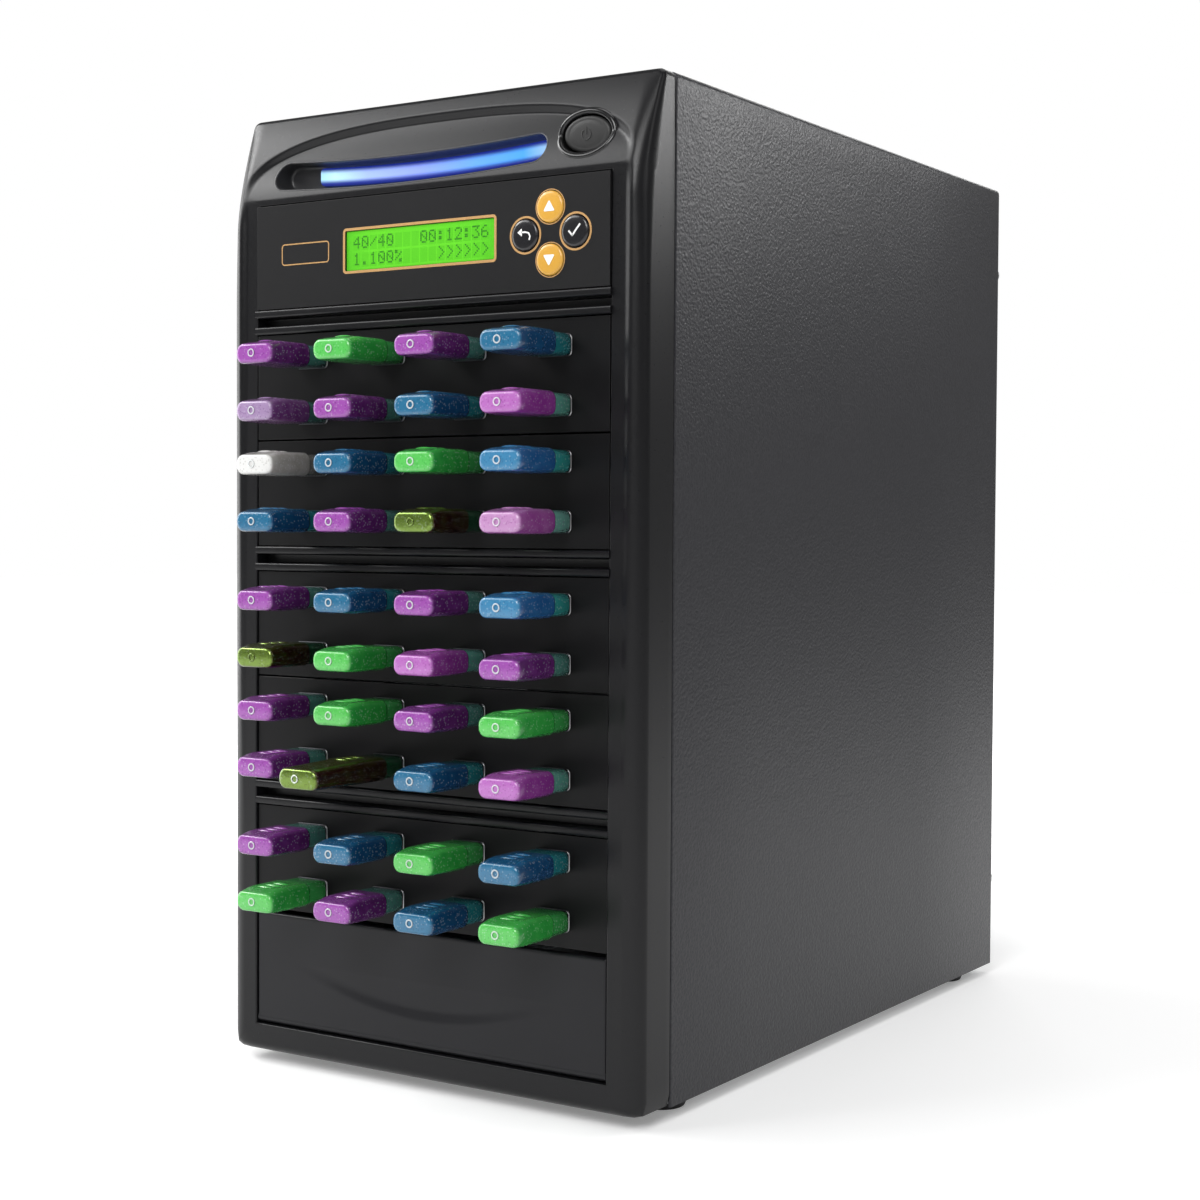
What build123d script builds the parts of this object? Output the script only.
from build123d import *
import os
from math import cos, pi, radians, sin, tan

# Tower that copies memory sticks: a steel case with a moulded front, five port bays and forty sticks.
# Millimetres. +X is to the right seen from the front, +Y runs from the front to the rear, +Z is up.
# The origin is under the middle of the whole machine, on the surface that it stands on.
os.makedirs("parts", exist_ok=True)

# Case
case_width = 192.5
case_height = 370.0
case_length = 301.0
foot_height = 5.0
sheet = 1.0
cover_bend = 2.5
cover_fit = 0.1
cover_flange = 10.0
pan_flange = 12.0

# Moulded front
bezel_depth = 21.65
bezel_wall = 2.6
outline_round = 3.0
head_height = 45.0
head_setback = 14.0
head_power = 1.6
rim_setback = 5.85
rim_round = 7.75
rim_head_height = 80.0
rim_head_setback = 8.6
rim_head_power = 1.9
bottom_round = 4.0
seam_gap = 0.8
tongue_length = 4.0
tongue_wall = 1.5
tongue_fit = 0.2

# Opening of the front, and the stack of fronts in it from the bottom up
opening_width = 165.0
opening_bottom = 11.1
door_space = 46.2
head_space = 36.5
crossbar_height = 9.5
crossbar_groove = 3.6
groove_depth = 7.0
crossbar_depth = 11.0
control_height = 40.7

# Arched hollow at the head of the front
arch_half_width = 92.0
arch_spring_drop = 34.0
arch_crown_drop = 6.0
arch_power = 2.6
hollow_crown_depth = 8.0
hollow_spring_depth = 20.0
hollow_end = 100.0

# Light bar and its pocket
pocket_inset = 20.25
pocket_gap = 16.7
pocket_drop = 25.0
pocket_height = 10.6
pocket_sag = 2.2
pocket_floor_depth = 8.0
pocket_wall = 2.0
bar_margin_left = 16.0
bar_margin_right = 4.0
bar_height = 6.4
bar_stand = 1.6
bar_flange = 1.6
bar_end_inset = 1.0
flange_side = 1.0
flange_end = 2.0
strip_end = 3.0
bar_fit = 0.15

# Power button
button_inset = 27.55
button_drop = 22.0
button_width = 20.0
button_height = 13.2
button_fit = 0.4
button_length = 9.0
button_round = 1.0
button_travel = 2.0
well_wall = 2.0
well_lip_depth = 16.6
button_face_depth = 15.8
well_back_depth = 3.0
stem_radius = 2.2
switch_body = 11.0
switch_depth = 6.0
stem_entry = 1.0
stem_end_room = 1.0

# Control panel and its keys
plate = 3.0
plate_inset = 0.6
plate_fit = 0.3
plate_seat = 3.0
window_step = 59.6
window_width = 70.0
window_height = 15.2
keys_margin = 25.5
keys_reach_x = 10.8
keys_reach_z = 9.4
key_radius = 5.7
key_fit = 0.2
key_proud = 0.9
key_flange = 1.0
key_flange_lip = 1.0
key_travel = 0.8
key_round = 0.4
key_end_room = 0.4
key_stem_radius = 1.7
key_stem_fit = 0.1
key_switch_width = 6.2
key_switch_height = 3.5
board_thickness = 1.6
board_stand = 9.0
board_margin = 3.0
post_radius = 3.0
post_inset = 5.0
post_reach = 12.0
display_margin = 4.0
display_gap = 0.3

# Port bays
bay_inset = 1.1
bay_count = 5
column_count = 4
column_margin = 26.1
column_shift = 2.0
row_half_pitch = 10.7
arm_thickness = 2.0
arm_length = 52.0
arm_height = 30.0
arm_fit = 0.3
board_groove = 1.0

# Ports and plugs
port_width = 13.2
port_height = 5.8
port_wall = 0.35
port_depth = 12.2
port_rim = 0.6
port_rim_thickness = 0.5
port_fit = 0.2
tongue_width = 11.0
tongue_thickness = 1.5
tongue_reach = 8.5
plug_width = 12.0
plug_height = 4.5
plug_shell = 0.3
plug_length = 12.0
plug_core_depth = 9.4
stick_gap = 1.0

# Stick bodies
stick_width = 18.0
stick_height = 9.2
stick_round = 2.6
stick_nose_round = 1.2
cap_length = 22.0
collar_inset = 0.7
collar_length = 10.0
master_length = 50.5
master_place = (8, 2)
ridge_width = 8.0
ridge_length = 2.4
ridge_pitch = 4.2
ridge_proud = 0.35

# Drop-down door of the spare bay
door_inset = 0.6
door_thickness = 3.2
door_gap = 0.4
door_top_gap = 1.6
door_pivot = 2.2
door_pin_radius = 1.5
door_pin_length = 2.0
door_pin_fit = 0.06
scoop_half_width = 66.0
scoop_top = 26.0
scoop_bottom = 11.0
scoop_depth = 1.3

# Steel cage
cage_margin = 7.5
cage_length = 150.0
cage_top_drop = 32.0

# Power supply, at the rear
supply_width = 150.0
supply_height = 86.0
supply_length = 140.0
supply_drop = 10.0
supply_window_margin = 3.0
outlet_x = -45.0
outlet_width = 36.0
outlet_height = 20.0
outlet_rise = 30.0
fan_x = -22.0
fan_radius = 37.0
fan_frame_size = 80.0
fan_frame_depth = 25.0
fan_bore_fit = 1.2
hub_radius = 16.0
hub_length = 18.0
blade_count = 7
blade_thickness = 1.6
blade_chord = 15.0
blade_pitch = 38.0
spindle_radius = 2.0
spindle_fit = 0.05
spoke_width = 4.0
spoke_thickness = 3.0
spoke_inset = 0.5
rotor_gap = 0.5
guard_wire = 1.8
guard_rings = 4
inlet_x = 42.0
inlet_rise = 24.0
inlet_flange_width = 31.0
inlet_flange_height = 24.0
inlet_mouth_width = 24.0
inlet_mouth_height = 16.5
inlet_depth = 17.0
inlet_wall = 1.6
inlet_pin_reach = 11.0
inlet_pin_width = 2.0
inlet_pin_height = 4.0
inlet_pin_pitch = 7.0
inlet_pin_offset = 2.0
rocker_rise = 60.0
rocker_width = 12.6
rocker_half_height = 9.0
rocker_depth = 5.0
rocker_edge = 0.5
rocker_keel = 4.0
rocker_keel_half = 3.0
rocker_tilt = 7.0
rocker_side_fit = 0.4
rocker_swing_room = 1.4
rocker_pin_radius = 1.2
rocker_pin_length = 1.0
rocker_pin_fit = 0.05
rocker_frame_wall = 1.6
rocker_frame_depth = 12.0

# Vents, screws and feet
vent_rows = 7
vent_columns = 5
vent_length = 22.0
vent_width = 3.0
vent_pitch_x = 28.0
vent_pitch_z = 12.0
vent_bottom = 70.0
cover_screw_inset = 40.0
thumb_radius = 4.5
thumb_height = 4.0
thumb_thread_radius = 1.75
thumb_thread_length = 7.0
screw_radius = 3.2
screw_height = 1.9
screw_thread_radius = 1.65
screw_thread_length = 6.0
screw_inset = 6.0
thread_fit = 0.15
foot_radius = 11.0
foot_top_radius = 9.0
foot_inset_x = 15.0
foot_inset_front = 18.0
foot_inset_rear = 25.0
foot_peg_radius = 3.0
foot_peg_fit = 0.1
foot_peg_grip = 1.0

# Places worked out from the sizes
half_width = case_width / 2
case_bottom = foot_height
case_top = case_bottom + case_height
bay_face_depth = bezel_depth - bay_inset
master_reach = bay_face_depth + port_rim_thickness + stick_gap + master_length
machine_length = master_reach + case_length + thumb_height
seam_y = master_reach - machine_length / 2
rear_y = seam_y + case_length
row_count = 2 * bay_count

keys_x = opening_width / 2 - keys_margin
window_x = keys_x - window_step
button_x = half_width - button_inset
pocket_left = pocket_inset - half_width
pocket_right = button_x - pocket_gap
cage_inner_width = opening_width - 2 * cage_margin
column_pitch = (opening_width - 2 * column_margin) / (column_count - 1)
crossbar_count = (bay_count + 1) // 2
bay_pitch = (case_height - opening_bottom - door_space - crossbar_count * crossbar_height
             - control_height - head_space) / bay_count

door_bottom = case_bottom + opening_bottom
stack_bottom = door_bottom + door_space
level = stack_bottom
bay_bottoms = []
crossbar_bottoms = []
for bay in range(bay_count):
    bay_bottoms.append(level)
    level += bay_pitch
    if bay % 2 == 0:
        crossbar_bottoms.append(level)
        level += crossbar_height
control_bottom = level
control_top = control_bottom + control_height
bay_bottoms.reverse()
columns = [column_shift + (i - (column_count - 1) / 2) * column_pitch for i in range(column_count)]


def depth_y(depth):
    """Y of a place that lies this far in front of the seam."""
    return seam_y - depth


def front_depth(drop):
    """Depth of the front along its middle, this far under the top of the case."""
    share = max(0.0, 1 - drop / head_height)
    return bezel_depth - head_setback * share ** head_power


def rim_depth(drop):
    """Depth of the outer edge of the front, this far under the top of the case."""
    share = max(0.0, 1 - drop / rim_head_height)
    return bezel_depth - rim_setback - rim_head_setback * share ** rim_head_power


def station_depth(drop, reach):
    """Depth between the flat front (reach 0) and the outer edge (reach 1), along a quarter round."""
    crown = (1 - reach ** 2) ** 0.5
    outer = min(rim_depth(drop), front_depth(drop))
    return outer + (front_depth(drop) - outer) * crown


def slab(x0, x1, y0, y1, z0, z1, mode=Mode.ADD):
    """Box between two corners, joined to or cut from the part being built."""
    place = ((x0 + x1) / 2, (y0 + y1) / 2, (z0 + z1) / 2)
    with Locations(place):
        Box(abs(x1 - x0), abs(y1 - y0), abs(z1 - z0), mode=mode)


def facing(y, x=0.0, z=0.0):
    """Plane that faces the front at this Y, with its own X to the right and its own Y up."""
    return Plane(origin=(x, y, z), x_dir=(1, 0, 0), z_dir=(0, -1, 0))


pocket_z = case_top - pocket_drop
pocket_mid = (pocket_left + pocket_right) / 2
pocket_half = (pocket_right - pocket_left - pocket_height) / 2
bar_left = pocket_left + bar_margin_left
bar_right = pocket_right - bar_margin_right
bar_mid = (bar_left + bar_right) / 2


def sag_at(x):
    """Height of the pocket's middle line at this X, on its shallow arc."""
    return pocket_z - pocket_sag * (1 - ((x - pocket_mid) / pocket_half) ** 2)


def bar_outline(width, end_inset):
    """Band of this width along the light bar's sagging middle line, as a sketch."""
    with BuildSketch(mode=Mode.PRIVATE) as band:
        with BuildLine():
            ThreePointArc((bar_left + end_inset, sag_at(bar_left + end_inset)), (bar_mid, sag_at(bar_mid)),
                          (bar_right - end_inset, sag_at(bar_right - end_inset)))
        trace(line_width=width)
    return band.sketch


# Moulded front: an upright frame whose head leans back and whose outer edges roll round to the sides
profile_steps = 8
reaches = [1.0, 0.85, 0.55, 0.0]
stations = [(half_width - rim_round * (1 - r), r) for r in reaches]
stations = [(-x, r) for x, r in stations] + [(x, r) for x, r in reversed(stations)]
with BuildPart() as front_bezel:
    for x, reach in stations:
        with BuildSketch(Plane.YZ.offset(x)):
            with BuildLine():
                drops = [rim_head_height * i / profile_steps for i in range(profile_steps + 1)]
                curve = [(depth_y(station_depth(d, reach)), case_top - d) for d in drops]
                low_y = curve[-1][0]
                Spline(*curve, tangents=((curve[1][0] - curve[0][0], curve[1][1] - curve[0][1]), (0, -1)))
                Line(curve[-1], (low_y, case_bottom + bottom_round))
                RadiusArc((low_y, case_bottom + bottom_round), (low_y + bottom_round, case_bottom),
                          -bottom_round)
                Line((low_y + bottom_round, case_bottom), (seam_y - seam_gap / 2, case_bottom))
                Line((seam_y - seam_gap / 2, case_bottom), (seam_y - seam_gap / 2, case_top))
                Line((seam_y - seam_gap / 2, case_top), curve[0])
            make_face()
    loft(ruled=True)
    with BuildSketch(facing(seam_y, 0, case_bottom + case_height / 2)):
        RectangleRounded(case_width, case_height, outline_round)
    extrude(amount=bezel_depth, mode=Mode.INTERSECT)

    # Hollow inside, open to the rear, with a wall everywhere behind the rolled edges
    with BuildSketch(Plane.YZ.offset(-half_width + bezel_wall)):
        with BuildLine():
            inner = [(depth_y(min(rim_depth(d), front_depth(d)) - bezel_wall), case_top - d)
                     for d in drops if d > bezel_wall]
            first = (depth_y(rim_depth(0) - bezel_wall), case_top - bezel_wall)
            Spline(first, *inner)
            Line(inner[-1], (inner[-1][0], case_bottom + bezel_wall))
            Line((inner[-1][0], case_bottom + bezel_wall), (seam_y, case_bottom + bezel_wall))
            Line((seam_y, case_bottom + bezel_wall), (seam_y, case_top - bezel_wall))
            Line((seam_y, case_top - bezel_wall), first)
        make_face()
    extrude(amount=case_width - 2 * bezel_wall, mode=Mode.SUBTRACT)

    # Arched hollow: an upright arch cut in front of a surface that comes forward as it falls
    arch_spring = case_top - arch_spring_drop
    arch_crown = case_top - arch_crown_drop
    arch_rise = arch_crown - arch_spring
    with BuildSketch(Plane.YZ.offset(-arch_half_width)):
        with BuildLine():
            ramp_top = (depth_y(hollow_crown_depth), arch_crown)
            ramp_foot = (depth_y(hollow_spring_depth), arch_spring)
            end = (depth_y(bezel_depth), case_bottom + hollow_end)
            out = depth_y(bezel_depth + 1)
            Spline(ramp_top, ramp_foot, tangents=((-0.35, -1), (-0.25, -1)))
            Line(ramp_foot, end)
            Line(end, (out, end[1]))
            Line((out, end[1]), (out, arch_crown))
            Line((out, arch_crown), ramp_top)
        make_face()
    hollow = extrude(amount=2 * arch_half_width, mode=Mode.PRIVATE)
    with BuildSketch(facing(seam_y)) as arch:
        with BuildLine():
            turns = [pi * i / 16 for i in range(1, 16)]
            arc = [(arch_half_width * (1 if cos(t) > 0 else -1) * abs(cos(t)) ** (2 / arch_power),
                    arch_spring + arch_rise * sin(t) ** (2 / arch_power)) for t in turns]
            right_foot = (arch_half_width, arch_spring)
            left_foot = (-arch_half_width, arch_spring)
            low = case_bottom + hollow_end - 1
            Spline(right_foot, *arc, left_foot, tangents=((0, 1), (0, -1)))
            Line(left_foot, (-arch_half_width, low))
            Line((-arch_half_width, low), (arch_half_width, low))
            Line((arch_half_width, low), right_foot)
        make_face()
    arch_column = extrude(amount=bezel_depth + 1, mode=Mode.PRIVATE)
    add(hollow & arch_column, mode=Mode.SUBTRACT)

    # Tub behind the light-bar pocket, then the pocket itself: a slot that sags in the middle
    with BuildSketch(facing(depth_y(pocket_floor_depth - pocket_wall))):
        with BuildLine():
            ThreePointArc((pocket_mid - pocket_half, pocket_z), (pocket_mid, pocket_z - pocket_sag),
                          (pocket_mid + pocket_half, pocket_z))
        trace(line_width=pocket_height + 2 * pocket_wall)
        with Locations((pocket_mid - pocket_half, pocket_z), (pocket_mid + pocket_half, pocket_z)):
            Circle(pocket_height / 2 + pocket_wall)
    extrude(amount=front_depth(pocket_drop + pocket_height) - pocket_floor_depth - 4)
    with BuildSketch(facing(depth_y(pocket_floor_depth))):
        with BuildLine():
            ThreePointArc((pocket_mid - pocket_half, pocket_z), (pocket_mid, pocket_z - pocket_sag),
                          (pocket_mid + pocket_half, pocket_z))
        trace(line_width=pocket_height)
        with Locations((pocket_mid - pocket_half, pocket_z), (pocket_mid + pocket_half, pocket_z)):
            Circle(pocket_height / 2)
    extrude(amount=bezel_depth, mode=Mode.SUBTRACT)

    with BuildSketch(facing(depth_y(pocket_floor_depth - 2 * pocket_wall))):
        add(bar_outline(bar_height + 2 * bar_fit, bar_end_inset - bar_fit))
    extrude(amount=3 * pocket_wall, mode=Mode.SUBTRACT)

    # Well of the power button: an oval tube with a raised lip
    button_z = case_top - button_drop
    with BuildSketch(facing(depth_y(well_back_depth), button_x, button_z)):
        Ellipse(button_width / 2 + button_fit + well_wall, button_height / 2 + button_fit + well_wall)
    extrude(amount=well_lip_depth - well_back_depth)
    with BuildSketch(facing(depth_y(well_back_depth), button_x, button_z)):
        Ellipse(button_width / 2 + button_fit, button_height / 2 + button_fit)
    extrude(amount=bezel_depth, mode=Mode.SUBTRACT)

    # Openings for the door, the bays and the control panel, which leave the crossbars standing
    half_opening = opening_width / 2
    slab(-half_opening, half_opening, depth_y(bezel_depth + 1), seam_y, door_bottom, control_bottom,
         Mode.SUBTRACT)
    slab(-half_opening, half_opening, depth_y(bezel_depth + 1), depth_y(bezel_depth - plate_inset - plate),
         control_bottom, control_top, Mode.SUBTRACT)
    slab(-half_opening + plate_seat, half_opening - plate_seat, depth_y(bezel_depth), seam_y,
         control_bottom + plate_seat, control_top - plate_seat, Mode.SUBTRACT)
    for bottom in crossbar_bottoms:
        slab(-half_opening, half_opening, depth_y(bezel_depth), depth_y(bezel_depth - crossbar_depth),
             bottom, bottom + crossbar_height)
        middle = bottom + crossbar_height / 2
        slab(-half_opening, half_opening, depth_y(bezel_depth), depth_y(bezel_depth - groove_depth),
             middle - crossbar_groove / 2, middle + crossbar_groove / 2, Mode.SUBTRACT)

    # Side webs beside the opening, with the holes for the door's pins
    pivot_y = depth_y(bezel_depth - door_inset - door_pivot)
    pivot_z = door_bottom + door_gap + door_pivot
    with Locations(Location((0, pivot_y, pivot_z), (0, 90, 0))):
        Cylinder(door_pin_radius + door_pin_fit, opening_width + 2 * door_pin_length, mode=Mode.SUBTRACT)

    # Tongue that enters the cover and closes the seam
    tongue_out = half_width - sheet - tongue_fit
    tongue_in = tongue_out - tongue_wall
    tongue_top = case_top - sheet - tongue_fit
    tongue_bottom = case_bottom + sheet + tongue_fit
    with BuildSketch(facing(seam_y + tongue_length, 0, (tongue_top + tongue_bottom) / 2)):
        RectangleRounded(2 * tongue_out, tongue_top - tongue_bottom, outline_round)
        Rectangle(2 * tongue_in, tongue_top - tongue_bottom - 2 * tongue_wall, mode=Mode.SUBTRACT)
    extrude(amount=tongue_length + seam_gap + 1)
front_bezel.part.label = "front_bezel"
export_step(front_bezel.part, "parts/front_bezel.step")

# Cover: one sheet folded over the top, with lips turned in at the rear that lie over the rear wall
with BuildPart() as wrap_cover:
    with BuildSketch(Plane.XZ.offset(-seam_y - seam_gap / 2)):
        with BuildLine():
            Polyline((-half_width, case_bottom), (-half_width, case_top - cover_bend))
            RadiusArc((-half_width, case_top - cover_bend), (-half_width + cover_bend, case_top), cover_bend)
            Line((-half_width + cover_bend, case_top), (half_width - cover_bend, case_top))
            RadiusArc((half_width - cover_bend, case_top), (half_width, case_top - cover_bend), cover_bend)
            Line((half_width, case_top - cover_bend), (half_width, case_bottom))
            Line((half_width, case_bottom), (-half_width, case_bottom))
        make_face()
    extrude(amount=-(case_length - seam_gap / 2))
    inside = half_width - sheet
    slab(-inside, inside, seam_y - 1, rear_y - sheet, case_bottom - 1, case_top - sheet, Mode.SUBTRACT)
    slab(-inside + cover_flange, inside - cover_flange, seam_y, rear_y + 1, case_bottom - 1,
         case_top - sheet - cover_flange, Mode.SUBTRACT)
    cover_holes = [(sx * (inside - cover_flange / 2), z) for sx in (-1, 1)
                   for z in (case_bottom + cover_screw_inset, case_top - cover_screw_inset)]
    with BuildSketch(facing(rear_y + 1)):
        with Locations(*cover_holes):
            Circle(thumb_thread_radius + thread_fit)
    extrude(amount=sheet + 2, mode=Mode.SUBTRACT)
wrap_cover.part.label = "wrap_cover"
export_step(wrap_cover.part, "parts/wrap_cover.step")

# Chassis: pan, front frame plate and rear wall folded from one sheet
pan_half = half_width - sheet - cover_fit
wall_y = rear_y - 2 * sheet
plate_y = seam_y + tongue_length + cover_fit
wall_top = case_top - sheet - cover_fit
supply_top = wall_top - supply_drop
supply_bottom = supply_top - supply_height
foot_places = [(sx * (half_width - foot_inset_x), y) for sx in (-1, 1)
               for y in (seam_y + foot_inset_front, rear_y - foot_inset_rear)]
supply_holes = [(sx * (supply_width / 2 - screw_inset), z) for sx in (-1, 1)
                for z in (supply_bottom + screw_inset, supply_top - screw_inset)]
window_half = supply_width / 2 - 2 * screw_inset
with BuildPart() as chassis:
    slab(-pan_half, pan_half, plate_y, wall_y + sheet, case_bottom, case_bottom + sheet)
    for side in (-1, 1):
        slab(side * pan_half, side * (pan_half - sheet), plate_y, wall_y + sheet, case_bottom,
             case_bottom + pan_flange)
    slab(-pan_half, pan_half, plate_y, plate_y + sheet, case_bottom, wall_top)
    slab(-cage_inner_width / 2, cage_inner_width / 2, plate_y - 1, plate_y + sheet + 1,
         case_bottom + 2 * sheet, case_top - cage_top_drop - sheet, Mode.SUBTRACT)
    slab(-pan_half, pan_half, wall_y, wall_y + sheet, case_bottom, wall_top)
    slab(-window_half, window_half, wall_y - 1, wall_y + 2 * sheet,
         supply_bottom + supply_window_margin, supply_top - supply_window_margin, Mode.SUBTRACT)
    with BuildSketch(facing(wall_y + 2 * sheet)):
        with Locations(*supply_holes):
            Circle(screw_thread_radius + thread_fit)
        with Locations(*cover_holes):
            Circle(thumb_thread_radius + thread_fit)
        vent_middle = case_bottom + vent_bottom + vent_pitch_z * (vent_rows - 1) / 2
        with Locations((0, vent_middle)):
            with GridLocations(vent_pitch_x, vent_pitch_z, vent_columns, vent_rows):
                SlotOverall(vent_length, vent_width)
    extrude(amount=3 * sheet, mode=Mode.SUBTRACT)
    with Locations(*[(x, y, case_bottom) for x, y in foot_places]):
        Cylinder(foot_peg_radius + foot_peg_fit, 4 * sheet, mode=Mode.SUBTRACT)
chassis.part.label = "chassis"
export_step(chassis.part, "parts/chassis.step")

# Cage: a box of sheet, open at both ends, standing on the pan behind the front plate
cage_y = plate_y + sheet
cage_half = cage_inner_width / 2
cage_top = case_top - cage_top_drop
with BuildPart() as drive_cage:
    slab(-cage_half - sheet, cage_half + sheet, cage_y, cage_y + cage_length, case_bottom + sheet, cage_top)
    slab(-cage_half, cage_half, cage_y - 1, cage_y + cage_length + 1, case_bottom + 2 * sheet,
         cage_top - sheet, Mode.SUBTRACT)
drive_cage.part.label = "drive_cage"
export_step(drive_cage.part, "parts/drive_cage.step")

# Control panel: plate on the ledge of the front, with a framed window, key holes and rear posts
panel_front = depth_y(bezel_depth - plate_inset)
panel_back = panel_front + plate
panel_z = (control_bottom + control_top) / 2
panel_width = opening_width - 2 * plate_fit
panel_height = control_height - 2 * plate_fit
key_places = {
    "key_up": (keys_x, panel_z + keys_reach_z),
    "key_down": (keys_x, panel_z - keys_reach_z),
    "key_back": (keys_x - keys_reach_x, panel_z),
    "key_ok": (keys_x + keys_reach_x, panel_z),
}
board_half = panel_width / 2 - plate_seat - board_margin
post_places = [(sx * (board_half - post_inset), panel_z + sz * post_reach)
               for sx in (-1, 1) for sz in (-1, 1)]
with BuildPart() as control_panel:
    with BuildSketch(facing(panel_back, 0, panel_z)):
        Rectangle(panel_width, panel_height)
        with Locations((window_x, 0)):
            Rectangle(window_width, window_height, mode=Mode.SUBTRACT)
        with Locations(*[(x, z - panel_z) for x, z in key_places.values()]):
            Circle(key_radius + key_fit, mode=Mode.SUBTRACT)
    extrude(amount=plate)
    with BuildSketch(facing(panel_back + board_stand)):
        with Locations(*post_places):
            Circle(post_radius)
    extrude(amount=board_stand)
control_panel.part.label = "control_panel"
export_step(control_panel.part, "parts/control_panel.step")

# Keys: round caps with a lip behind the plate and a stem that enters its switch
board_y = panel_back + board_stand
for key_name, (x, z) in key_places.items():
    with BuildPart() as key:
        with BuildSketch(facing(panel_back, x, z)):
            Circle(key_radius)
        extrude(amount=plate + key_proud)
        fillet(key.faces().sort_by(Axis.Y)[0].edges(), key_round)
        with BuildSketch(facing(panel_back + key_flange, x, z)):
            Circle(key_radius + key_flange_lip - key_fit)
        extrude(amount=key_flange)
        with BuildSketch(facing(board_y - key_switch_height + stem_entry, x, z)):
            Circle(key_stem_radius)
        extrude(amount=board_stand - key_switch_height + stem_entry)
    key.part.label = key_name
    export_step(key.part, "parts/" + key_name + ".step")

# Power button: crowned oval cap with a stem that enters the power switch
button_face = depth_y(button_face_depth)
switch_y = depth_y(well_back_depth)
with BuildPart() as power_button:
    with BuildSketch(facing(button_face + button_length, button_x, button_z)):
        Ellipse(button_width / 2, button_height / 2)
    extrude(amount=button_length)
    fillet(power_button.faces().sort_by(Axis.Y)[0].edges(), button_round)
    with BuildSketch(facing(switch_y + stem_entry, button_x, button_z)):
        Circle(stem_radius)
    extrude(amount=switch_y + stem_entry - (button_face + button_length))
power_button.part.label = "power_button"
export_step(power_button.part, "parts/power_button.step")

# Front electronics: board with the display and key switches, the power switch and the bar's strip
display_y = panel_back + display_gap
strip_y = depth_y(pocket_floor_depth - pocket_wall) + bar_flange
with BuildPart() as board:
    with BuildSketch(facing(board_y + board_thickness, 0, panel_z)):
        Rectangle(2 * board_half, panel_height - 2 * plate_seat - board_margin)
    extrude(amount=board_thickness)
with BuildPart() as display:
    display_half_x = window_width / 2 + display_margin
    display_half_z = window_height / 2 + display_margin
    slab(window_x - display_half_x, window_x + display_half_x, display_y, board_y,
         panel_z - display_half_z, panel_z + display_half_z)
with BuildPart() as key_switches:
    for x, z in key_places.values():
        half = key_switch_width / 2
        slab(x - half, x + half, board_y - key_switch_height, board_y, z - half, z + half)
    with BuildSketch(facing(board_y - key_switch_height + stem_entry + key_travel + key_end_room)):
        with Locations(*key_places.values()):
            Circle(key_stem_radius + key_stem_fit)
    extrude(amount=key_switch_height, mode=Mode.SUBTRACT)
with BuildPart() as power_switch:
    slab(button_x - switch_body, button_x + switch_body, switch_y, switch_y + switch_depth,
         button_z - switch_body / 2, button_z + switch_body / 2)
    with BuildSketch(facing(switch_y + stem_entry + button_travel + stem_end_room, button_x, button_z)):
        Circle(stem_radius + key_stem_fit)
    extrude(amount=switch_body, mode=Mode.SUBTRACT)
with BuildPart() as light_strip:
    slab(bar_left - strip_end, bar_right + strip_end, strip_y, strip_y + board_thickness,
         pocket_z - pocket_sag - bar_height, pocket_z + bar_height)
front_electronics = Compound(label="front_electronics", children=[
    board.part, display.part, *key_switches.part.solids(), power_switch.part, light_strip.part])
export_step(front_electronics, "parts/front_electronics.step")

# Light bar: clear bar that follows the pocket's sag, with a flange behind the tub
with BuildPart() as light_bar:
    with BuildSketch(facing(depth_y(pocket_floor_depth - pocket_wall))):
        add(bar_outline(bar_height, bar_end_inset))
    extrude(amount=pocket_wall + bar_stand)
    slab(bar_left - flange_end, bar_right + flange_end, strip_y - bar_flange, strip_y,
         sag_at(bar_mid) - bar_height / 2 - flange_side, sag_at(bar_left) + bar_height / 2 + flange_side)
light_bar.part.label = "light_bar"
export_step(light_bar.part, "parts/light_bar.step")

# Bay fronts: plates with eight port windows, each on two arms that slide into the cage
bay_front = depth_y(bay_face_depth)
bay_back = bay_front + plate
arm_outer = cage_half - arm_fit
port_back = bay_front - port_rim_thickness + port_depth + port_wall
ports = [(x, z) for z in (row_half_pitch, -row_half_pitch) for x in columns]
fronts = []
for bottom in bay_bottoms:
    middle = bottom + bay_pitch / 2
    with BuildPart() as bay_panel:
        with BuildSketch(facing(bay_back, 0, middle)):
            Rectangle(opening_width - 2 * plate_fit, bay_pitch - 2 * plate_fit)
            with Locations(*ports):
                Rectangle(port_width + 2 * port_fit, port_height + 2 * port_fit, mode=Mode.SUBTRACT)
        extrude(amount=plate)
        for side in (-1, 1):
            slab(side * arm_outer, side * (arm_outer - arm_thickness), bay_back, bay_back + arm_length,
                 middle - arm_height / 2, middle + arm_height / 2)
            groove = arm_outer - arm_thickness
            slab(side * groove, side * (groove + board_groove), port_back, port_back + board_thickness,
                 middle - arm_height / 2 - 1, middle + arm_height / 2 + 1, Mode.SUBTRACT)
    fronts.append(bay_panel.part)
bay_panels = Compound(label="bay_panels", children=fronts)
export_step(bay_panels, "parts/bay_panels.step")

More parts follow.
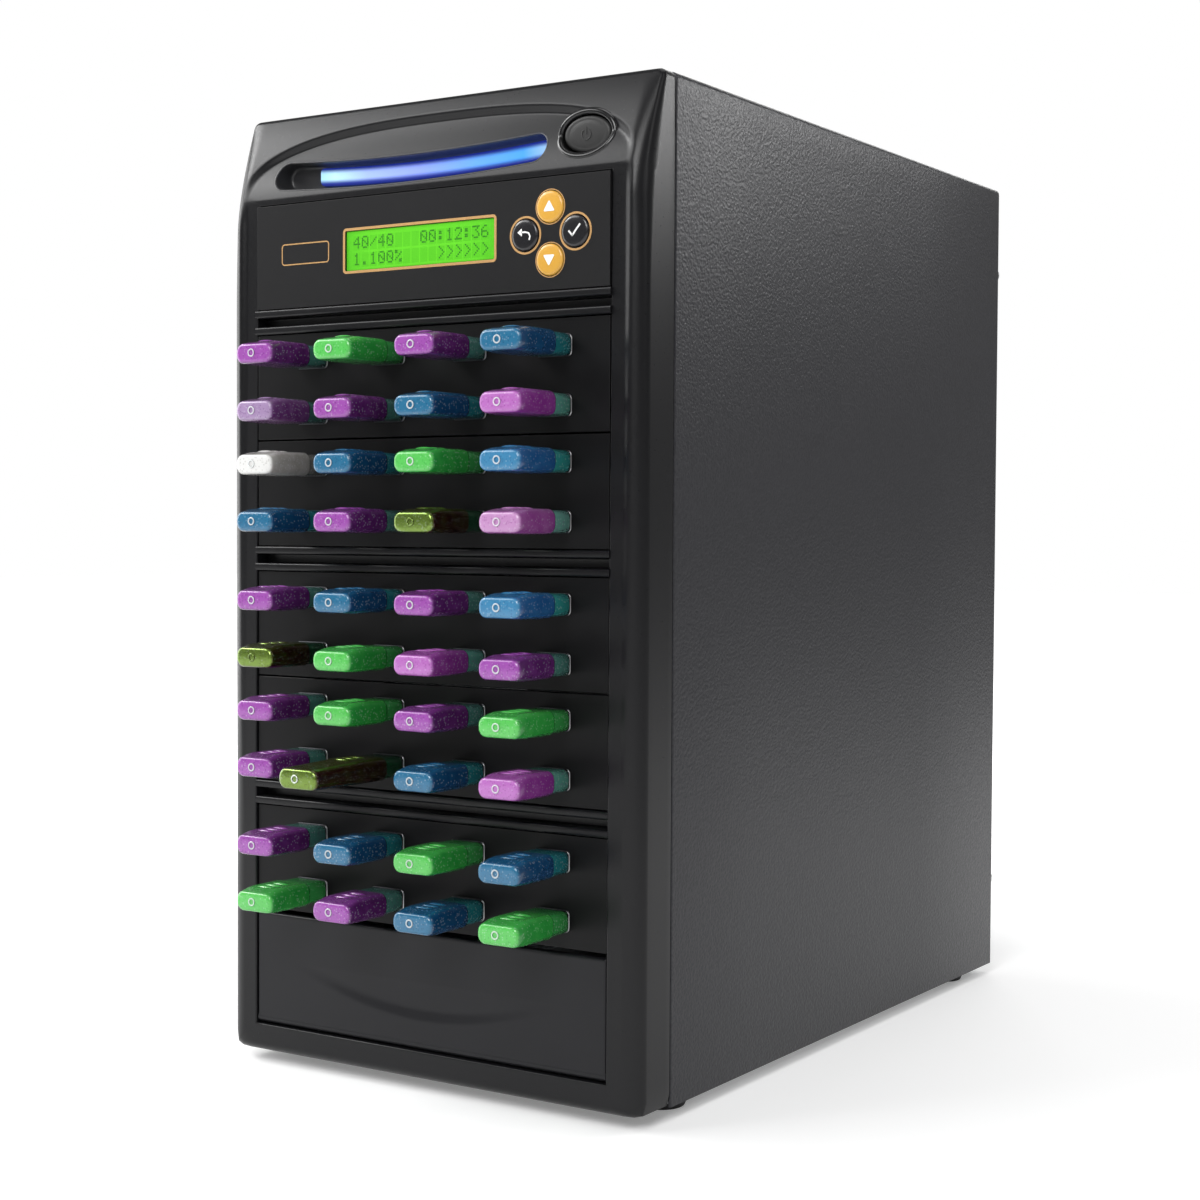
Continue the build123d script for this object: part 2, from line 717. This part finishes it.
# Port boards: a board in the arms' grooves, with eight metal port shells whose rims show in front
board_reach = arm_outer - arm_thickness + board_groove
gap_height = plug_height / 2 - plug_shell
with BuildPart() as port:
    with BuildSketch(facing(port_back)):
        Rectangle(port_width, port_height)
    extrude(amount=port_depth + port_wall)
    with BuildSketch(facing(bay_front)):
        Rectangle(port_width + 2 * port_rim, port_height + 2 * port_rim)
    extrude(amount=port_rim_thickness)
    with BuildSketch(facing(port_back - port_wall)):
        Rectangle(port_width - 2 * port_wall, port_height - 2 * port_wall)
    extrude(amount=port_depth, mode=Mode.SUBTRACT)
    with BuildSketch(facing(port_back - port_wall, 0, gap_height / 2)):
        Rectangle(tongue_width, tongue_thickness)
    extrude(amount=tongue_reach)
with BuildPart() as hub_board:
    slab(-board_reach, board_reach, port_back, port_back + board_thickness, -arm_height / 2, arm_height / 2)
boards = []
for bottom in bay_bottoms:
    middle = bottom + bay_pitch / 2
    boards.append(hub_board.part.moved(Location((0, 0, middle))))
    boards += [port.part.moved(Location((x, 0, middle + z))) for x, z in ports]
hub_boards = Compound(label="hub_boards", children=boards)
export_step(hub_boards, "parts/hub_boards.step")

# Memory sticks: a plug that takes the port's tongue, in a body with grip ridges, all at one height first
port_face = bay_front - port_rim_thickness
stick_back = port_face - stick_gap
plug_tip = port_face + plug_length
with BuildPart() as plug:
    with BuildSketch(facing(plug_tip)):
        Rectangle(plug_width, plug_height)
    extrude(amount=plug_tip - stick_back)
    with BuildSketch(facing(plug_tip, 0, gap_height / 2)):
        Rectangle(plug_width - 2 * plug_shell, gap_height)
    extrude(amount=plug_core_depth, mode=Mode.SUBTRACT)


def stick_body(length, collar):
    """Body of a stick: a rounded bar this long whose rear stretch, the collar, is a little slimmer."""
    with BuildPart() as body:
        with BuildSketch(facing(stick_back - collar)):
            RectangleRounded(stick_width, stick_height, stick_round)
        extrude(amount=length - collar)
        fillet(body.faces().sort_by(Axis.Y)[0].edges(), stick_nose_round)
        with BuildSketch(facing(stick_back)):
            RectangleRounded(stick_width - 2 * collar_inset, stick_height - 2 * collar_inset,
                             stick_round - collar_inset)
        extrude(amount=collar)
        with BuildSketch(Plane.XY.offset(stick_height / 2 - 1)):
            ridge_middle = stick_back - collar - cap_length / 2
            with Locations(*[(0, ridge_middle + i * ridge_pitch) for i in (-1, 0, 1)]):
                Ellipse(ridge_width / 2, ridge_length / 2)
        extrude(amount=1 + ridge_proud)
    return body.part


short_body = stick_body(cap_length + collar_length, collar_length)
master_body = stick_body(master_length, collar_length)
for row in range(1, row_count + 1):
    bay_middle = bay_bottoms[(row - 1) // 2] + bay_pitch / 2
    z = bay_middle + (row_half_pitch if row % 2 else -row_half_pitch)
    for column, x in enumerate(columns, 1):
        place = Location((x, 0, z))
        body = master_body if (row, column) == master_place else short_body
        name = f"stick_{row}_{column}"
        stick = Compound(label=name, children=[body.moved(place), plug.part.moved(place)])
        export_step(stick, "parts/" + name + ".step")

# Door of the spare bay: plate that turns on two pins at its lower edge, with a smile-shaped grip
door_front = depth_y(bezel_depth - door_inset)
door_half = half_opening - door_gap
door_top = stack_bottom - door_top_gap
with BuildPart() as bay_door:
    with BuildSketch(Plane.YZ.offset(-door_half)):
        with BuildLine():
            Line((door_front, pivot_z), (door_front, door_top))
            Line((door_front, door_top), (door_front + door_thickness, door_top))
            Line((door_front + door_thickness, door_top), (door_front + door_thickness, pivot_z))
            Line((door_front + door_thickness, pivot_z), (pivot_y + door_pivot, pivot_z))
            RadiusArc((pivot_y + door_pivot, pivot_z), (pivot_y, pivot_z - door_pivot), door_pivot)
            RadiusArc((pivot_y, pivot_z - door_pivot), (door_front, pivot_z), door_pivot)
        make_face()
    extrude(amount=2 * door_half)
    slope = scoop_depth / (scoop_top - scoop_bottom)
    with BuildSketch(Plane.YZ.offset(-scoop_half_width)):
        with BuildLine():
            high = door_bottom + scoop_top
            low = door_bottom + scoop_bottom
            Polyline((door_front, high), (door_front + scoop_depth, low), (door_front - 1, low),
                     (door_front - 1, high), (door_front, high))
        make_face()
    wedge = extrude(amount=2 * scoop_half_width, mode=Mode.PRIVATE)
    with BuildSketch(facing(door_front + door_thickness)):
        with BuildLine():
            ThreePointArc((-scoop_half_width, high), (0, low), (scoop_half_width, high))
            Line((scoop_half_width, high), (-scoop_half_width, high))
        make_face()
    smile = extrude(amount=door_thickness + 1, mode=Mode.PRIVATE)
    add(wedge & smile, mode=Mode.SUBTRACT)
    with Locations(Location((0, pivot_y, pivot_z), (0, 90, 0))):
        Cylinder(door_pin_radius, 2 * (half_opening + door_pin_length - door_gap))
bay_door.part.label = "bay_door"
export_step(bay_door.part, "parts/bay_door.step")

# Power supply: steel box against the rear wall, with its fan frame, guard, mains inlet and switch frame
fan_z = (supply_bottom + supply_top) / 2
supply_y = wall_y - supply_length
inlet_z = supply_bottom + inlet_rise
rocker_z = supply_bottom + rocker_rise
inlet_half_x = inlet_mouth_width / 2 + inlet_wall
inlet_half_z = inlet_mouth_height / 2 + inlet_wall
rocker_half_x = rocker_width / 2 + rocker_side_fit
rocker_room = rocker_half_height + rocker_swing_room
frame_half_x = rocker_half_x + rocker_frame_wall
frame_half_z = rocker_room + rocker_frame_wall
half_supply = supply_width / 2
supply_back = wall_y - sheet
# The supply's case is bent from two sheets, a tray and a lid, around a rear plate
with BuildPart() as supply_tray:
    slab(-half_supply, half_supply, supply_y, supply_back, supply_bottom, supply_bottom + sheet)
    slab(-half_supply, half_supply, supply_y, supply_y + sheet, supply_bottom, supply_top - sheet)
    # Outlet for the supply's leads, in the wall that faces the cage
    slab(outlet_x - outlet_width / 2, outlet_x + outlet_width / 2, supply_y - sheet, supply_y + 2 * sheet,
         supply_bottom + outlet_rise - outlet_height / 2, supply_bottom + outlet_rise + outlet_height / 2,
         Mode.SUBTRACT)
with BuildPart() as supply_lid:
    slab(-half_supply, half_supply, supply_y, supply_back, supply_top - sheet, supply_top)
    for side in (-1, 1):
        slab(side * half_supply, side * (half_supply - sheet), supply_y + sheet, supply_back,
             supply_bottom + sheet, supply_top)
with BuildPart() as supply_rear:
    slab(-half_supply, half_supply, supply_back, wall_y, supply_bottom, supply_top)
    with BuildSketch(facing(wall_y + 1)):
        with Locations((fan_x, fan_z)):
            Circle(fan_radius + fan_bore_fit)
        with Locations((inlet_x, inlet_z)):
            Rectangle(2 * inlet_half_x, 2 * inlet_half_z)
        with Locations((inlet_x, rocker_z)):
            Rectangle(2 * frame_half_x, 2 * frame_half_z)
        with Locations(*supply_holes):
            Circle(screw_thread_radius + thread_fit)
    extrude(amount=sheet + 2, mode=Mode.SUBTRACT)
frame_y = wall_y - sheet - fan_frame_depth
with BuildPart() as fan_frame:
    with BuildSketch(facing(wall_y - sheet, fan_x, fan_z)):
        Rectangle(fan_frame_size, fan_frame_size)
        Circle(fan_radius + fan_bore_fit, mode=Mode.SUBTRACT)
    extrude(amount=fan_frame_depth)
    with BuildSketch(facing(frame_y + spoke_thickness, fan_x, fan_z)):
        Rectangle(fan_frame_size - 2 * spoke_inset, spoke_width)
        Rectangle(spoke_width, fan_frame_size - 2 * spoke_inset)
        Circle(hub_radius)
    extrude(amount=spoke_thickness)
    with BuildSketch(facing(frame_y + spoke_thickness + hub_length, fan_x, fan_z)):
        Circle(spindle_radius)
    extrude(amount=hub_length)
with BuildPart() as fan_guard:
    ring_step = (fan_radius + fan_bore_fit) / guard_rings
    with BuildSketch(facing(wall_y + guard_wire, fan_x, fan_z)):
        for ring in range(guard_rings, 0, -1):
            middle = ring * ring_step + guard_wire / 3
            Circle(middle + guard_wire / 2)
            Circle(middle - guard_wire / 2, mode=Mode.SUBTRACT)
        reach = guard_rings * ring_step + guard_wire / 3
        for turn in (45, 135):
            Rectangle(2 * reach, guard_wire, rotation=turn)
    extrude(amount=guard_wire)
with BuildPart() as inlet:
    lip = 2 * sheet
    with BuildSketch(facing(wall_y + lip, inlet_x, inlet_z)):
        Rectangle(inlet_flange_width, inlet_flange_height)
    extrude(amount=lip)
    with BuildSketch(facing(wall_y, inlet_x, inlet_z)):
        Rectangle(2 * inlet_half_x, 2 * inlet_half_z)
    extrude(amount=inlet_depth + inlet_wall - lip)
    with BuildSketch(facing(wall_y + lip, inlet_x, inlet_z)):
        Rectangle(inlet_mouth_width, inlet_mouth_height)
    extrude(amount=inlet_depth, mode=Mode.SUBTRACT)
    with BuildSketch(facing(wall_y + lip - inlet_depth + inlet_pin_reach, inlet_x, inlet_z)):
        with Locations((-inlet_pin_pitch, -inlet_pin_offset), (0, inlet_pin_offset),
                       (inlet_pin_pitch, -inlet_pin_offset)):
            Rectangle(inlet_pin_width, inlet_pin_height)
    extrude(amount=inlet_pin_reach)
with BuildPart() as rocker_frame:
    slab(inlet_x - frame_half_x - 1, inlet_x + frame_half_x + 1, wall_y, wall_y + lip,
         rocker_z - frame_half_z - 1, rocker_z + frame_half_z + 1)
    slab(inlet_x - frame_half_x, inlet_x + frame_half_x, wall_y - rocker_frame_depth, wall_y,
         rocker_z - frame_half_z, rocker_z + frame_half_z)
    slab(inlet_x - rocker_half_x, inlet_x + rocker_half_x, wall_y - rocker_frame_depth + rocker_frame_wall,
         wall_y + lip + 1, rocker_z - rocker_room, rocker_z + rocker_room, Mode.SUBTRACT)
    rocker_y = wall_y + lip - rocker_depth
    with Locations(Location((inlet_x, rocker_y, rocker_z), (0, 90, 0))):
        Cylinder(rocker_pin_radius + rocker_pin_fit, 4 * frame_half_x, mode=Mode.SUBTRACT)
power_supply = Compound(label="power_supply", children=[
    supply_tray.part, supply_lid.part, supply_rear.part, fan_frame.part, fan_guard.part, inlet.part,
    rocker_frame.part])
export_step(power_supply, "parts/power_supply.step")

# Fan rotor: hub bored for the spindle, with pitched blades
rotor_y = frame_y + spoke_thickness + rotor_gap
with BuildPart() as fan_rotor:
    with BuildSketch(facing(rotor_y + hub_length - 1, fan_x, fan_z)):
        Circle(hub_radius)
    extrude(amount=hub_length - 1)
    blade_y = rotor_y + hub_length / 2
    for blade in range(blade_count):
        turn = 360 * blade / blade_count
        root = (fan_x, blade_y, fan_z)
        blade_middle = (hub_radius + fan_radius) / 2
        spin = Location(root, (0, turn, 0)) * Location((blade_middle, 0, 0), (blade_pitch, 0, 0))
        with Locations(spin):
            Box(fan_radius - hub_radius + 2, blade_thickness, blade_chord)
    with BuildSketch(facing(rotor_y + hub_length, fan_x, fan_z)):
        Circle(fan_radius)
    extrude(amount=hub_length, mode=Mode.INTERSECT)
    with BuildSketch(facing(rotor_y + hub_length, fan_x, fan_z)):
        Circle(spindle_radius + spindle_fit)
    extrude(amount=2 * hub_length, mode=Mode.SUBTRACT)
fan_rotor.part.label = "fan_rotor"
export_step(fan_rotor.part, "parts/fan_rotor.step")

# Mains switch: rocker with a hollow face, on two pins, resting on its off side
with BuildPart() as mains_switch:
    rise = rocker_half_height * tan(radians(rocker_tilt))
    face = rocker_depth - rise
    with BuildSketch(Plane.YZ.offset(inlet_x - rocker_width / 2)):
        with Locations((rocker_y, rocker_z)):
            Polygon((face, 0), (face + rise, rocker_half_height), (rocker_edge, rocker_half_height),
                    (-rocker_keel, rocker_keel_half), (-rocker_keel, -rocker_keel_half),
                    (rocker_edge, -rocker_half_height), (face + rise, -rocker_half_height), align=None)
    extrude(amount=rocker_width)
    with Locations(Location((inlet_x, rocker_y, rocker_z), (0, 90, 0))):
        Cylinder(rocker_pin_radius, rocker_width + 2 * (rocker_side_fit + rocker_pin_length))
rocker = mains_switch.part.rotate(Axis((inlet_x, rocker_y, rocker_z), (1, 0, 0)), -rocker_tilt)
rocker.label = "mains_switch"
export_step(rocker, "parts/mains_switch.step")

# Feet: rubber, each with a peg pushed up through the pan
with BuildPart() as foot:
    with BuildSketch():
        Circle(foot_top_radius)
    with BuildSketch(Plane.XY.offset(foot_height)):
        Circle(foot_radius)
    loft()
    with BuildSketch(Plane.XY.offset(foot_height)):
        Circle(foot_peg_radius)
    extrude(amount=sheet + foot_peg_grip)
feet = Compound(label="feet", children=[foot.part.moved(Location((x, y, 0))) for x, y in foot_places])
export_step(feet, "parts/feet.step")


def screw(head_radius, head_height, thread_radius, thread_length):
    """Screw with a flat round head, pointing into the case, with the underside of its head at Y 0."""
    with BuildPart() as made:
        with BuildSketch(facing(head_height)):
            Circle(head_radius)
        extrude(amount=head_height)
        with BuildSketch(facing(0)):
            Circle(thread_radius)
        extrude(amount=thread_length)
    return made.part


# Screws: thumb screws hold the cover, and pan-head screws hold the power supply
thumb_screw = screw(thumb_radius, thumb_height, thumb_thread_radius, thumb_thread_length)
supply_screw = screw(screw_radius, screw_height, screw_thread_radius, screw_thread_length)
screws = [thumb_screw.moved(Location((x, rear_y, z))) for x, z in cover_holes]
screws += [supply_screw.moved(Location((x, wall_y + sheet, z))) for x, z in supply_holes]
case_screws = Compound(label="case_screws", children=screws)
export_step(case_screws, "parts/case_screws.step")
